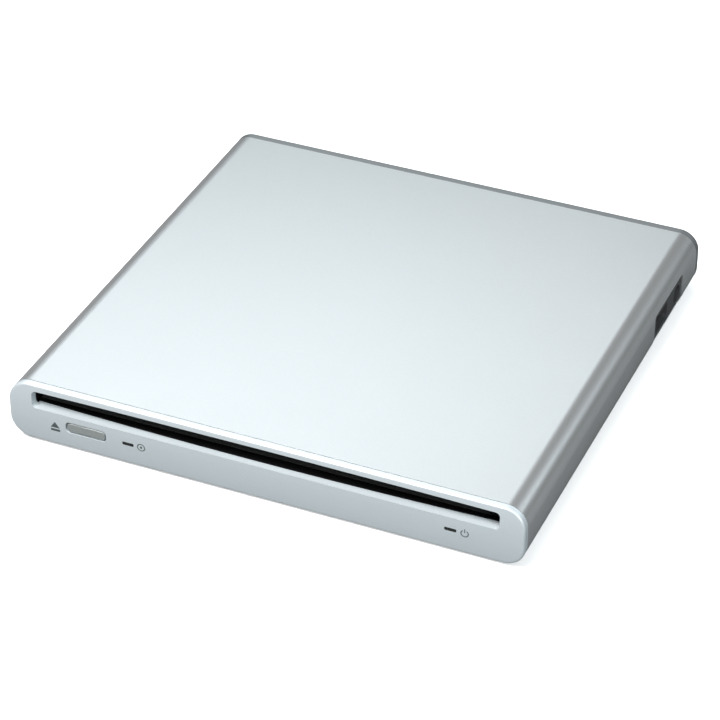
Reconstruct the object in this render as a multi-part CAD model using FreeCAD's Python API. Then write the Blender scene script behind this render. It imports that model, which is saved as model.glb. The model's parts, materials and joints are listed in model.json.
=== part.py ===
import FreeCAD, Part
import math
import os
from FreeCAD import Vector as V

os.makedirs("parts", exist_ok=True)

# ---------------------------------------------------------------- sizes, mm
# X runs along the front, Y goes back, Z is up. The origin is under the middle
# of the object, on the surface that it stands on.
W = 140.0                # width of the casing
FRONT = -68.5            # front face of the bezel
REAR = 68.5              # rear face of the end cap
FOOT = 0.8               # height of the feet below the casing
H = 16.75                # height of the casing
R_SIDE = 5.7             # rounding that runs along both sides
WALL = 1.2
Z0 = FOOT
Z1 = FOOT + H
BEZEL_D = 2.35           # depth of the front bezel
CROWN = 0.5              # how far its face falls back at the top and the bottom
CAP_D = 2.75             # depth of the rear end cap
SEAM_Z = 3.5             # joint line between top and bottom cover
GAP = 0.1                # half of the fine parting gaps

SLOT_HW = 63.4           # half width of the disc slot
SLOT_Z0 = 10.8           # lower edge of the slot
SLOT_Z1_END = 15.7       # upper edge at the ends, which is slightly arched
SLOT_Z1_MID = 16.1
THROAT_Z0 = 11.1         # throat inside the liner
THROAT_Z1 = 15.7

BTN_X0, BTN_X1 = -54.0, -42.5   # opening of the eject button
BTN_Z0, BTN_Z1 = 5.7, 9.0
BTN_GAP = 0.4            # open line around the button
BTN_SET = 0.1            # the button's face lies this far behind the bezel's
BTN_TRAVEL = 0.5
LED_A = (-36.3, 7.1)     # centre of the access light
LED_P = (50.85, 7.15)    # centre of the power light
LED_W, LED_H = 3.2, 1.0

PORT_Y0, PORT_Y1 = 30.1, 53.6   # opening in the right side wall
PORT_Z0, PORT_Z1 = 3.6, 12.85
USB_Y, USB_Z = 36.6, 8.9
JACK_Y, JACK_Z = 49.6, 8.7
JACK_R = 2.45

DISC_R = 60.0            # a 120 mm disc, centred on the origin
FLOOR_Z = 3.8            # top of the chassis floor
DECK_Z0, DECK_Z1 = 10.7, 11.1

# traverse, which tilts about a pivot at the back
PIV_Y, PIV_Z = 61.5, 5.1
LIFT_DEG = 2.6
LIFT_PIN = (-10.0, 5.2)
ROD_X, ROD_Z, ROD_R = 18.0, 6.9, 1.0
SCREW_X, SCREW_R = 23.5, 1.2
LENS_Y = 24.0
SLED_TRAVEL = 34.0

# loading train
MOD = 0.5
PA = math.radians(25.0)
ADD, DED = 0.40, 0.55
T_MOTOR, T_A1, T_A2, T_B1, T_B2 = 10, 28, 10, 36, 12
GB = (31.0, -32.0)
GA = (20.5, -36.7)
MO = (13.5, -43.1)
CAM_TRAVEL = 16.0
RACK_X = GB[0] + MOD * T_B2 / 2.0

# guide levers
PIVOT = (56.0, -26.0)
LEVER_L = 22.0
LEVER_REST, LEVER_SWING = -73.9, 50.0
PIN_R = CAM_TRAVEL / 2.0 / math.sin(math.radians(LEVER_SWING / 2.0))


# ---------------------------------------------------------------- helpers
def box(x0, x1, y0, y1, z0, z1):
    return Part.makeBox(x1 - x0, y1 - y0, z1 - z0, V(x0, y0, z0))


def cyl(x, y, z0, z1, r):
    return Part.makeCylinder(r, z1 - z0, V(x, y, z0))


def cylx(x0, x1, y, z, r):
    return Part.makeCylinder(r, x1 - x0, V(x0, y, z), V(1, 0, 0))


def cyly(x, y0, y1, z, r):
    return Part.makeCylinder(r, y1 - y0, V(x, y0, z), V(0, 1, 0))


def fuse(shapes):
    s = shapes[0]
    if len(shapes) > 1:
        s = s.fuse(shapes[1:])
    return s.removeSplitter()


def group(shapes):
    return Part.makeCompound(shapes)


def rr_y(x0, x1, z0, z1, r, y0, y1):
    """A rounded rectangle in the XZ plane, drawn along Y."""
    r = min(r, (x1 - x0) / 2 - 1e-3, (z1 - z0) / 2 - 1e-3)
    c = r * (1 - math.sqrt(0.5))
    e = []
    e.append(Part.LineSegment(V(x0 + r, y0, z0), V(x1 - r, y0, z0)))
    e.append(Part.Arc(V(x1 - r, y0, z0), V(x1 - c, y0, z0 + c), V(x1, y0, z0 + r)))
    e.append(Part.LineSegment(V(x1, y0, z0 + r), V(x1, y0, z1 - r)))
    e.append(Part.Arc(V(x1, y0, z1 - r), V(x1 - c, y0, z1 - c), V(x1 - r, y0, z1)))
    e.append(Part.LineSegment(V(x1 - r, y0, z1), V(x0 + r, y0, z1)))
    e.append(Part.Arc(V(x0 + r, y0, z1), V(x0 + c, y0, z1 - c), V(x0, y0, z1 - r)))
    e.append(Part.LineSegment(V(x0, y0, z1 - r), V(x0, y0, z0 + r)))
    e.append(Part.Arc(V(x0, y0, z0 + r), V(x0 + c, y0, z0 + c), V(x0 + r, y0, z0)))
    w = Part.Wire([x.toShape() for x in e])
    return Part.Face(w).extrude(V(0, y1 - y0, 0))


def body(off, y0, y1):
    """The casing's section, moved in by off, drawn along Y."""
    return rr_y(-W / 2 + off, W / 2 - off, Z0 + off, Z1 - off, R_SIDE - off, y0, y1)


def ring(o0, o1, y0, y1):
    return body(o0, y0, y1).cut(body(o1, y0 - 1, y1 + 1))


def rr_x(y0, y1, z0, z1, r, x0, x1):
    """A rounded rectangle in the YZ plane, drawn along X."""
    r = min(r, (y1 - y0) / 2 - 1e-3, (z1 - z0) / 2 - 1e-3)
    c = r * (1 - math.sqrt(0.5))
    e = [Part.LineSegment(V(x0, y0 + r, z0), V(x0, y1 - r, z0)),
         Part.Arc(V(x0, y1 - r, z0), V(x0, y1 - c, z0 + c), V(x0, y1, z0 + r)),
         Part.LineSegment(V(x0, y1, z0 + r), V(x0, y1, z1 - r)),
         Part.Arc(V(x0, y1, z1 - r), V(x0, y1 - c, z1 - c), V(x0, y1 - r, z1)),
         Part.LineSegment(V(x0, y1 - r, z1), V(x0, y0 + r, z1)),
         Part.Arc(V(x0, y0 + r, z1), V(x0, y0 + c, z1 - c), V(x0, y0, z1 - r)),
         Part.LineSegment(V(x0, y0, z1 - r), V(x0, y0, z0 + r)),
         Part.Arc(V(x0, y0, z0 + r), V(x0, y0 + c, z0 + c), V(x0, y0 + r, z0))]
    return Part.Face(Part.Wire([k.toShape() for k in e])).extrude(V(x1 - x0, 0, 0))


def rr_z(x0, x1, y0, y1, r, z0, z1):
    """A box with rounded upright edges."""
    s = box(x0, x1, y0, y1, z0, z1)
    ed = [e for e in s.Edges if abs(e.Vertexes[0].Z - e.Vertexes[-1].Z) > 1e-6]
    return s.makeFillet(r, ed)


def capsule(p, q, hw, z0, z1):
    """An upright slab with round ends between two points."""
    dx, dy = q[0] - p[0], q[1] - p[1]
    n = math.hypot(dx, dy)
    ux, uy = dx / n, dy / n
    a = V(p[0] - uy * hw, p[1] + ux * hw, z0)
    b = V(q[0] - uy * hw, q[1] + ux * hw, z0)
    c = V(q[0] + uy * hw, q[1] - ux * hw, z0)
    d = V(p[0] + uy * hw, p[1] - ux * hw, z0)
    e1 = V(q[0] + ux * hw, q[1] + uy * hw, z0)
    e2 = V(p[0] - ux * hw, p[1] - uy * hw, z0)
    w = Part.Wire([Part.LineSegment(a, b).toShape(), Part.Arc(b, e1, c).toShape(),
                   Part.LineSegment(c, d).toShape(), Part.Arc(d, e2, a).toShape()])
    return Part.Face(w).extrude(V(0, 0, z1 - z0))


def capsule_yz(p, q, hw, x0, x1):
    """A slab with round ends in the YZ plane, drawn along X."""
    dx, dy = q[0] - p[0], q[1] - p[1]
    n = math.hypot(dx, dy)
    ux, uy = dx / n, dy / n

    def P(a, b):
        return V(x0, a, b)
    a = P(p[0] - uy * hw, p[1] + ux * hw)
    b = P(q[0] - uy * hw, q[1] + ux * hw)
    c = P(q[0] + uy * hw, q[1] - ux * hw)
    d = P(p[0] + uy * hw, p[1] - ux * hw)
    e1 = P(q[0] + ux * hw, q[1] + uy * hw)
    e2 = P(p[0] - ux * hw, p[1] - uy * hw)
    w = Part.Wire([Part.LineSegment(a, b).toShape(), Part.Arc(b, e1, c).toShape(),
                   Part.LineSegment(c, d).toShape(), Part.Arc(d, e2, a).toShape()])
    return Part.Face(w).extrude(V(x1 - x0, 0, 0))


def at(c, r, deg):
    a = math.radians(deg)
    return (c[0] + r * math.cos(a), c[1] + r * math.sin(a))


def mirror_x(s):
    return s.mirror(V(0, 0, 0), V(1, 0, 0))


def gear(c, teeth, z0, z1, tooth_deg, bore=0.0):
    """A spur gear with one tooth centred on tooth_deg."""
    rp = MOD * teeth / 2.0
    rb = rp * math.cos(PA)
    ra, rf = rp + ADD, rp - DED
    inv = math.tan(PA) - PA
    half = (math.pi * MOD / 2.0 - 0.05) / 2.0 / rp

    def ang(r):
        if r <= rb:
            return half + inv
        a = math.acos(rb / r)
        return half + inv - (math.tan(a) - a)
    rs = [rf, max(rb, rf + 0.02)]
    for k in (0.35, 0.7, 1.0):
        rs.append(rs[1] + (ra - rs[1]) * k)
    pts = []
    pitch = 2 * math.pi / teeth
    for i in range(teeth):
        t0 = math.radians(tooth_deg) + i * pitch
        for r in rs:
            pts.append((r, t0 - ang(r)))
        for r in reversed(rs):
            pts.append((r, t0 + ang(r)))
    vs = [V(c[0] + r * math.cos(a), c[1] + r * math.sin(a), z0) for r, a in pts]
    vs.append(vs[0])
    s = Part.Face(Part.makePolygon(vs)).extrude(V(0, 0, z1 - z0))
    if bore:
        s = s.cut(cyl(c[0], c[1], z0 - 1, z1 + 1, bore))
    return s


def direction(p, q):
    return math.degrees(math.atan2(q[1] - p[1], q[0] - p[0]))


def tube(x, y, z0, z1, r1, r0):
    return cyl(x, y, z0, z1, r1).cut(cyl(x, y, z0 - 1, z1 + 1, r0))


def screw(x, y, z_seat, r_head, h_head, r, length, down=True):
    """A pan-head screw, its head above or below the seat."""
    if down:
        s = cyl(x, y, z_seat - length, z_seat + 0.01, r).fuse(
            cyl(x, y, z_seat, z_seat + h_head, r_head))
        s = s.removeSplitter()
        t = z_seat + h_head
        return s.cut(fuse([box(x - 0.2, x + 0.2, y - r_head * 0.6, y + r_head * 0.6, t - 0.35, t + 1),
                           box(x - r_head * 0.6, x + r_head * 0.6, y - 0.2, y + 0.2, t - 0.35, t + 1)]))
    s = cyl(x, y, z_seat - 0.01, z_seat + length, r).fuse(
        cyl(x, y, z_seat - h_head, z_seat, r_head))
    s = s.removeSplitter()
    t = z_seat - h_head
    return s.cut(fuse([box(x - 0.25, x + 0.25, y - r_head * 0.6, y + r_head * 0.6, t - 1, t + 0.4),
                       box(x - r_head * 0.6, x + r_head * 0.6, y - 0.25, y + 0.25, t - 1, t + 0.4)]))


PARTS = {}


def put(name, shape):
    PARTS[name] = shape


# ---------------------------------------------------------------- casing
YB = FRONT + BEZEL_D          # back of the bezel
YC = REAR - CAP_D             # front of the end cap

FEET_XY = [(-55.0, -55.0), (55.0, -55.0), (-55.0, 55.0), (55.0, 55.0)]
CASE_SCREWS = [(-66.6, -52.0), (66.6, -52.0), (-66.6, 58.5), (66.6, 58.5)]
CHASSIS_SCREWS = [(-52.0, -54.0), (54.0, -50.0), (-50.0, 61.0), (38.0, 57.0)]

# top cover: a shell over the top and both sides, down to the seam
top = ring(0, WALL, YB + GAP, YC - GAP)
top = top.cut(box(-80, 80, -80, 80, -5, SEAM_Z + GAP))
for sx, sy in CASE_SCREWS:
    s = 1 if sx > 0 else -1
    b = cyl(sx, sy, 4.6, 9.5, 2.0).fuse(box(sx - (0 if s > 0 else 2.6), sx + (2.6 if s > 0 else 0), sy - 2.0, sy + 2.0, 4.6, 9.5))
    b = b.common(body(WALL - 0.3, -80, 80))
    top = top.fuse(b)
    top = top.cut(cyl(sx, sy, 4.0, 8.6, 0.8))
top = top.removeSplitter()
top = top.cut(rr_x(PORT_Y0, PORT_Y1, PORT_Z0 - 3.0, PORT_Z1, 1.0, 66.0, 72.0))   # open down to the seam
put("top_cover", top)

# bottom cover: the tray that closes the shell from below, with an upright lip
bot = ring(0, WALL, YB + GAP, YC - GAP).common(box(-80, 80, -80, 80, -5, SEAM_Z - GAP))
lip = ring(WALL + GAP, 2.1, YB + 2.3, YC - 1.4).common(box(-80, 80, -80, 80, 1.5, 5.2))
lip = lip.fuse(ring(WALL - 0.2, 2.1, YB + 2.3, YC - 1.4).common(box(-80, 80, -80, 80, 1.5, SEAM_Z - GAP)))
lip = lip.cut(box(-66.2, 66.2, -80, 80, -5, 20))
bot = bot.fuse(lip)
for sx, sy in CASE_SCREWS:
    s = 1 if sx > 0 else -1
    b = cyl(sx, sy, 1.6, 4.5, 2.8).common(body(WALL - 0.4, -80, 80).fuse(body(WALL + GAP, -80, 80)))
    b = b.cut(ring(-5, WALL + GAP, -80, 80).common(box(-80, 80, -80, 80, SEAM_Z - GAP, 20)))
    bot = bot.fuse(b)
    # the lip stays clear of the screw boss of the top cover
    bot = bot.cut(box(sx - 3, sx + 3, sy - 2.3, sy + 2.3, 4.5, 20))
    bot = bot.cut(cyl(sx, sy, 0, 8, 1.1)).cut(cyl(sx, sy, 0, 3.4, 1.85))
# port opening keeps the lip away from the port panel
bot = bot.cut(box(60, 80, PORT_Y0 - 1.6, PORT_Y1 + 1.6, 3.6, 20))
for fx, fy in FEET_XY:
    bot = bot.cut(cyl(fx, fy, 0, 1.2, 4.6))
for cx, cy in CHASSIS_SCREWS:
    bot = bot.fuse(cyl(cx, cy, 1.9, 3.1, 1.6))
    bot = bot.cut(cyl(cx, cy, 1.4, 5, 0.8))
# cooling slots and a bare label recess in the floor
for i in range(9):
    bot = bot.cut(capsule((-20 + i * 5.0, 30.0), (-20 + i * 5.0, 44.0), 0.9, 0, 3))
bot = bot.cut(rr_z(-32, 32, -34, 2, 2.0, 0.0, 1.0))
put("bottom_cover", bot.removeSplitter())

# front bezel
bez = body(0, FRONT, YB)
# its face is crowned: a wide arc from top to bottom, with a rounded outline
CROWN_R = (H * H / 4 + CROWN * CROWN) / (2 * CROWN)
bez = bez.common(Part.makeCylinder(CROWN_R, 200, V(-100, FRONT + CROWN_R, (Z0 + Z1) / 2), V(1, 0, 0)))
ed = [e for e in bez.Edges if max(v.Y for v in e.Vertexes) < FRONT + CROWN + 0.1]
bez = bez.makeFillet(0.6, ed)


def slot_face(grow, y0, y1):
    """The slot's outline: flat below, slightly arched above, round corners."""
    x, zl, ze, zm, r = SLOT_HW + grow, SLOT_Z0 - grow, SLOT_Z1_END + grow, SLOT_Z1_MID + grow, 1.2 + grow
    c = r * (1 - math.sqrt(0.5))
    e = [Part.LineSegment(V(-x + r, y0, zl), V(x - r, y0, zl)),
         Part.Arc(V(x - r, y0, zl), V(x - c, y0, zl + c), V(x, y0, zl + r)),
         Part.LineSegment(V(x, y0, zl + r), V(x, y0, ze - r)),
         Part.Arc(V(x, y0, ze - r), V(x - c, y0, ze - c), V(x - r, y0, ze)),
         Part.Arc(V(x - r, y0, ze), V(0, y0, zm), V(-x + r, y0, ze)),
         Part.Arc(V(-x + r, y0, ze), V(-x + c, y0, ze - c), V(-x, y0, ze - r)),
         Part.LineSegment(V(-x, y0, ze - r), V(-x, y0, zl + r)),
         Part.Arc(V(-x, y0, zl + r), V(-x + c, y0, zl + c), V(-x + r, y0, zl))]
    return Part.Face(Part.Wire([k.toShape() for k in e])).extrude(V(0, y1 - y0, 0))


bez = bez.fuse(box(-63.0, 63.0, YB - 0.1, YB + 1.3, 9.8, SLOT_Z0))     # sill behind the slot
spig = ring(1.35, 2.2, YB - 0.1, YB + 2.2).cut(box(-80, 80, -80, 0, 9.4, 30))
bez = bez.fuse(spig)
for sx in (-20.0, 25.0):                                               # bosses for the front board
    bez = bez.fuse(cyly(sx, YB - 0.1, -62.05, 6.5, 2.0))
bez = bez.cut(ring(-0.5, 0.7, YB - 0.15, YB + 0.05))                  # step that makes the parting line read
bez = bez.cut(slot_face(0, FRONT - 1, YB + 4))
for sx in (-20.0, 25.0):
    bez = bez.cut(cyly(sx, YB + 0.4, -61.0, 6.5, 0.7))
bez = bez.cut(rr_y(BTN_X0, BTN_X1, BTN_Z0, BTN_Z1, 1.2, FRONT - 1, YB + 0.05))
for lx, lz in (LED_A, LED_P):
    bez = bez.cut(rr_y(lx - LED_W / 2, lx + LED_W / 2, lz - LED_H / 2, lz + LED_H / 2, 0.3, FRONT - 1, YB + 0.05))
put("front_bezel", bez.removeSplitter())

# rear end cap
cap = body(0, YC, REAR)
ed = [e for e in cap.Edges if all(abs(v.Y - REAR) < 1e-6 for v in e.Vertexes)
      and abs(e.BoundBox.YLength) < 1e-6]
cap = cap.makeFillet(1.0, ed)
cap = cap.cut(body(WALL, YC - 0.1, REAR - 1.4))
cap = cap.fuse(ring(1.35, 2.2, YC - 0.9, REAR - 1.2))
cap = cap.fuse(ring(0.8, 2.2, YC + 0.6, REAR - 1.2))
put("rear_end_cap", cap.removeSplitter())

# port panel: dark insert, set back 0.3 mm in the side wall, down to the seam
pp = ring(0.3, 1.4, PORT_Y0 + 0.12, PORT_Y1 - 0.12).common(rr_x(PORT_Y0 + 0.12, PORT_Y1 - 0.12, PORT_Z0 - 3.0, PORT_Z1 - 0.12, 0.88, 60, 80))
pp = pp.common(box(60, 80, -80, 80, PORT_Z0 + 0.05, 20))
pf = ring(1.3, 2.1, PORT_Y0 - 1.3, PORT_Y1 + 1.3).common(box(60, 80, -80, 80, PORT_Z0 + 0.15, PORT_Z1 + 0.9))
pp = pp.fuse(pf)
pp = pp.cut(rr_x(USB_Y - 4.7, USB_Y + 4.7, USB_Z - 2.5, USB_Z + 2.5, 0.9, 60, 80))
pp = pp.cut(cylx(60, 80, JACK_Y, JACK_Z, JACK_R + 0.1))
put("port_panel", pp.removeSplitter())

# eject button: a plain key with a flange behind the bezel and a stem
btn = rr_y(BTN_X0 + BTN_GAP, BTN_X1 - BTN_GAP, BTN_Z0 + BTN_GAP, BTN_Z1 - BTN_GAP, 0.8, FRONT + BTN_SET, YB + 0.2)
ed = [e for e in btn.Edges if all(abs(v.Y - (FRONT + BTN_SET)) < 1e-6 for v in e.Vertexes)
      and abs(e.BoundBox.YLength) < 1e-6]
btn = btn.makeFillet(0.25, ed)
btn = btn.fuse(rr_y(BTN_X0 - 1.0, BTN_X1 + 1.0, BTN_Z0 - 0.8, BTN_Z1 + 0.5, 2.0, YB + 0.15, YB + 0.85))
btn = btn.fuse(cyly(-48.25, YB + 0.5, -64.0, 7.35, 1.1))
put("eject_button", btn.removeSplitter())
put("eject_switch_plunger", cyly(-48.25, -63.95, -62.65, 7.35, 0.7))
sw = box(-51.25, -45.25, -63.2, -61.95, 5.6, 9.1).cut(cyly(-48.25, -64, -62.05, 7.35, 0.78))
put("eject_switch", sw)

pipes = []
for lx, lz in (LED_A, LED_P):
    p = rr_y(lx - LED_W / 2 + 0.04, lx + LED_W / 2 - 0.04, lz - LED_H / 2 + 0.04, lz + LED_H / 2 - 0.04, 0.28, FRONT + 0.05, -63.3)
    p = p.fuse(rr_y(lx - LED_W / 2 - 0.6, lx + LED_W / 2 + 0.6, lz - LED_H / 2 - 0.5, lz + LED_H / 2 + 0.5, 0.5, YB + 0.05, YB + 0.75))
    pipes.append(p.removeSplitter())
put("light_pipes", group(pipes))

# slot liner: black duct behind the bezel, its lower nose crowned forward
y_in = -60.9
nose_mid, nose_end = FRONT + 1.95, FRONT + 3.3
low = box(-64.4, 64.4, YB + 1.4, y_in, 10.2, THROAT_Z0)
e = [Part.LineSegment(V(-63.3, nose_end, 10.86), V(-63.3, -63.9, 10.86)),
     Part.LineSegment(V(-63.3, -63.9, 10.86), V(63.3, -63.9, 10.86)),
     Part.LineSegment(V(63.3, -63.9, 10.86), V(63.3, nose_end, 10.86)),
     Part.Arc(V(63.3, nose_end, 10.86), V(0, nose_mid, 10.86), V(-63.3, nose_end, 10.86))]
nose = Part.Face(Part.Wire([k.toShape() for k in e])).extrude(V(0, 0, THROAT_Z0 - 10.86))
lin = low.fuse(nose)
lin = lin.fuse(box(-64.4, 64.4, YB + 0.12, y_in, THROAT_Z1, 16.2))
for s in (-1, 1):
    x0, x1 = (63.45, 64.4) if s > 0 else (-64.4, -63.45)
    lin = lin.fuse(box(x0, x1, YB + 0.12, y_in, 10.2, 16.2))
# the duct's upper corners follow the round casing
lin = lin.common(body(WALL + 0.1, -80, 0))
# slot ends: the duct is open where the bezel's mouth is arched above it
put("slot_liner", lin.removeSplitter())
put("slot_felts", group([box(-63.0, 63.0, -64.0, -62.0, THROAT_Z0, THROAT_Z0 + 0.15),
                         box(-63.0, 63.0, -64.0, -62.0, THROAT_Z1 - 0.15, THROAT_Z1)]))

# feet
feet = []
for fx, fy in FEET_XY:
    f = cyl(fx, fy, 0.0, 1.2, 4.5)
    ed = [e2 for e2 in f.Edges if abs(e2.BoundBox.ZMax) < 1e-6]
    feet.append(f.makeFillet(0.3, ed))
put("rubber_feet", group(feet))

put("case_screws", group([screw(sx, sy, 3.4, 1.7, 0.9, 0.76, 4.8, down=False) for sx, sy in CASE_SCREWS]))

# ---------------------------------------------------------------- chassis
put("chassis_grommets", group([tube(cx, cy, 2.0, 3.2, 3.2, 1.7) for cx, cy in CHASSIS_SCREWS]))
cs = [screw(cx, cy, FLOOR_Z, 1.9, 0.8, 0.78, 2.3) for cx, cy in CHASSIS_SCREWS]

ch = box(-64.4, 64.4, -60.2, 64.4, 3.2, FLOOR_Z)
ch = ch.fuse([box(-64.4, -63.8, -60.2, 64.4, 3.2, 15.7),
              box(63.8, 64.4, -60.2, 64.4, 3.2, 15.7),
              box(-64.4, 64.4, 63.8, 64.4, 3.2, 15.7),
              box(-58.5, 58.5, -60.2, -59.6, 3.2, 9.4)])
ch = ch.cut(box(63.0, 66.0, 28.0, 57.0, FLOOR_Z, 20))
for sx, sy in CASE_SCREWS:
    ch = ch.cut(cyl(sx, sy, 3.0, 4.9, 3.1))
for cx, cy in CHASSIS_SCREWS:
    ch = ch.cut(cyl(cx, cy, 3.0, 4.0, 0.85))
# standoffs: deck posts, board posts and the posts that the loading parts turn on
DECK_POSTS = [(-54.5, -57.0), (54.5, -57.0), (-56.0, 14.0), (56.0, 18.0), (-57.0, 61.0), (44.0, 61.0)]
posts = [cyl(px, py, FLOOR_Z, DECK_Z0, 1.5) for px, py in DECK_POSTS]
BOARD_POSTS = [(-59.5, -4.0), (-33.0, -4.0), (-59.5, 54.5), (-33.0, 54.5), (47.5, 30.0), (47.5, 54.0)]
posts += [cyl(px, py, FLOOR_Z, 5.0, 1.6).cut(cyl(px, py, 3.7, 6, 0.65)) for px, py in BOARD_POSTS]
for s in (-1, 1):
    px, py = s * PIVOT[0], PIVOT[1]
    posts.append(cyl(px, py, FLOOR_Z, 9.6, 2.6).fuse(cyl(px, py, 9.0, 10.6, 1.5)))
posts.append(cyl(GA[0], GA[1], FLOOR_Z, 6.2, 1.8).fuse(cyl(GA[0], GA[1], 6.0, 9.6, 1.0)))
posts.append(cyl(GB[0], GB[1], FLOOR_Z, 6.3, 1.8).fuse(cyl(GB[0], GB[1], 6.0, 9.6, 1.0)))
GUIDES = [(45.2, -28.0), (45.2, -8.0)]
for gx, gy in GUIDES:
    posts.append(cyl(gx, gy, FLOOR_Z, 4.05, 1.6).fuse(cyl(gx, gy, FLOOR_Z, 5.3, 0.95)))
LGUIDE = (-44.0, -33.0)
posts.append(cyl(LGUIDE[0], LGUIDE[1], FLOOR_Z, 8.3, 1.8).fuse(cyl(LGUIDE[0], LGUIDE[1], 8.0, 9.68, 0.95)))
# pivot blocks of the traverse
for s in (-1, 1):
    x0 = 28.6 if s > 0 else -31.4
    posts.append(box(x0, x0 + 2.8, 59.2, 63.8, FLOOR_Z, 7.2).cut(cylx(x0 - 1, x0 + 4, PIV_Y, PIV_Z, 1.05)))
put("standoffs", group([p.removeSplitter() for p in posts]))
# ledges on the walls that carry the deck
ch = ch.fuse([box(-63.9, -62.6, 30, 40, 10.2, DECK_Z0), box(-63.9, -62.6, -18, -8, 10.2, DECK_Z0),
              box(62.6, 63.9, -18, -8, 10.2, DECK_Z0), box(62.6, 63.9, 5, 15, 10.2, DECK_Z0)]).removeSplitter()
for s in (-1, 1):
    for py in (-35.0, 22.0):
        ch = ch.cut(cylx(60, 66, py, 14.0, 0.75) if s > 0 else cylx(-66, -60, py, 14.0, 0.75))
# pressed openings that make the floor lighter
for x0, x1, y0, y1 in ((-22, 22, -8, 8), (-24, -4, 14, 26), (4, 24, 14, 26)):
    ch = ch.cut(rr_z(x0, x1, y0, y1, 3.0, 3.0, 3.9))
put("chassis", ch.removeSplitter())

clips = [tube(s * PIVOT[0], PIVOT[1], 10.42, 10.6, 2.5, 1.5) for s in (-1, 1)]
clips += [tube(GA[0], GA[1], 9.36, 9.55, 1.9, 1.0), tube(GB[0], GB[1], 9.36, 9.55, 1.9, 1.0)]
clips += [tube(gx, gy, 5.0, 5.2, 1.9, 0.95) for gx, gy in GUIDES]
clips += [tube(LGUIDE[0], LGUIDE[1], 9.46, 9.64, 1.8, 0.95)]
put("retaining_clips", group(clips))

# disc deck with a window for the traverse and arc slots for the lever pins
dk = box(-63.6, 63.6, -60.0, 63.6, DECK_Z0, DECK_Z1)
dk = dk.cut(box(-28.4, 28.4, -16.6, 70, 9, 12))
dk = dk.cut(box(56.5, 70, 28.0, 57.0, 9, 12))
arc_cut = []
N = 8
for s in (-1, 1):
    pts = []
    for i in range(N + 1):
        a = LEVER_REST - LEVER_SWING * i / N
        x, y = at(PIVOT, LEVER_L, a)
        pts.append((s * x, y))
    for i in range(N):
        arc_cut.append(capsule(pts[i], pts[i + 1], 1.15, 10.0, 12.0))
for c in arc_cut:
    dk = dk.cut(c)
put("disc_deck", dk.removeSplitter())

# lid over the disc bay, with side tabs
lid = box(-64.4, 64.4, -60.7, 64.4, 15.72, 16.22)
for s in (-1, 1):
    for py in (-35.0, 22.0):
        x0, x1 = (64.45, 64.95) if s > 0 else (-64.95, -64.45)
        xi0, xi1 = (64.0, 64.95) if s > 0 else (-64.95, -64.0)
        lid = lid.fuse([box(x0, x1, py - 4, py + 4, 12.4, 16.22), box(xi0, xi1, py - 4, py + 4, 15.72, 16.22)])
        lid = lid.cut(cylx(60, 66, py, 14.0, 0.85) if s > 0 else cylx(-66, -60, py, 14.0, 0.85))
lid = lid.cut(Part.makeCylinder(20.0, 0.2, V(0, 0, 16.02)).cut(Part.makeCylinder(17.0, 0.2, V(0, 0, 16.02))))
put("chassis_lid", lid.removeSplitter())
ls = []
for s in (-1, 1):
    for py in (-35.0, 22.0):
        if s > 0:
            b = cylx(62.9, 65.0, py, 14.0, 0.73).fuse(cylx(64.95, 65.75, py, 14.0, 1.6))
        else:
            b = cylx(-65.0, -62.9, py, 14.0, 0.73).fuse(cylx(-65.75, -64.95, py, 14.0, 1.6))
        ls.append(b.removeSplitter())
put("chassis_screws", group(cs + ls))

# ---------------------------------------------------------------- boards
fb = box(-58.0, 58.0, -61.95, -61.15, 3.4, 9.7)
for sx in (-20.0, 25.0):
    fb = fb.cut(cyly(sx, -63, -60, 6.5, 0.75))
put("front_board", fb)
put("front_lights", group([box(lx - 1.5, lx + 1.5, -63.2, -61.95, lz - 0.6, lz + 0.6) for lx, lz in (LED_A, LED_P)]))

mb = box(-62.5, -29.5, -9.0, 58.0, 5.0, 5.8)
for px, py in BOARD_POSTS[:4]:
    mb = mb.cut(cyl(px, py, 4, 7, 0.75))
mb = mb.cut(cyl(-56.0, 14.0, 4, 7, 1.7))
put("main_board", mb)
pb = box(45.0, 62.8, 27.0, 57.0, 5.0, 5.8)
for px, py in BOARD_POSTS[4:]:
    pb = pb.cut(cyl(px, py, 4, 7, 0.75))
put("port_board", pb)
bs = [screw(px, py, 5.8, 1.4, 0.6, 0.62, 1.7) for px, py in BOARD_POSTS]
for sx in (-20.0, 25.0):
    b = cyly(sx, -64.0, -61.14, 6.5, 0.62).fuse(cyly(sx, -61.15, -60.5, 6.5, 1.4))
    bs.append(b.removeSplitter())
put("board_screws", group(bs))


def chip(x0, x1, y0, y1, h, pins):
    s = box(x0, x1, y0, y1, 5.95, 5.8 + h)
    leads = []
    n = pins
    for i in range(n):
        yy = y0 + (i + 0.5) * (y1 - y0) / n
        leads += [box(x0 - 0.8, x0 + 0.1, yy - 0.2, yy + 0.2, 5.8, 6.15), box(x1 - 0.1, x1 + 0.8, yy - 0.2, yy + 0.2, 5.8, 6.15)]
    return s.fuse(leads).removeSplitter()


put("controller_chip", chip(-53.0, -39.0, 22.0, 36.0, 1.3, 9))
put("driver_chips", group([chip(-52.5, -43.5, 2.0, 9.0, 1.2, 7), chip(-52.0, -42.0, 43.0, 52.0, 1.2, 8)]))
put("board_capacitors", group([cyl(-58.5, 25.0, 5.8, 8.6, 1.8), cyl(-58.5, 31.0, 5.8, 8.6, 1.8), cyl(-34.0, 12.0, 5.8, 8.2, 1.5),
                               box(-36.0, -33.0, 40.0, 42.0, 5.8, 6.8), box(-36.0, -33.0, 44.0, 46.0, 5.8, 6.8)]))
put("board_connectors", group([box(-33.0, -30.2, 22.0, 36.0, 5.8, 6.9), box(-62.0, -57.5, 1.0, 6.0, 5.8, 6.9),
                               box(-33.0, -30.2, 46.8, 52.2, 5.8, 6.9), box(45.6, 48.4, 38.0, 46.0, 5.8, 6.9)]))

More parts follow.
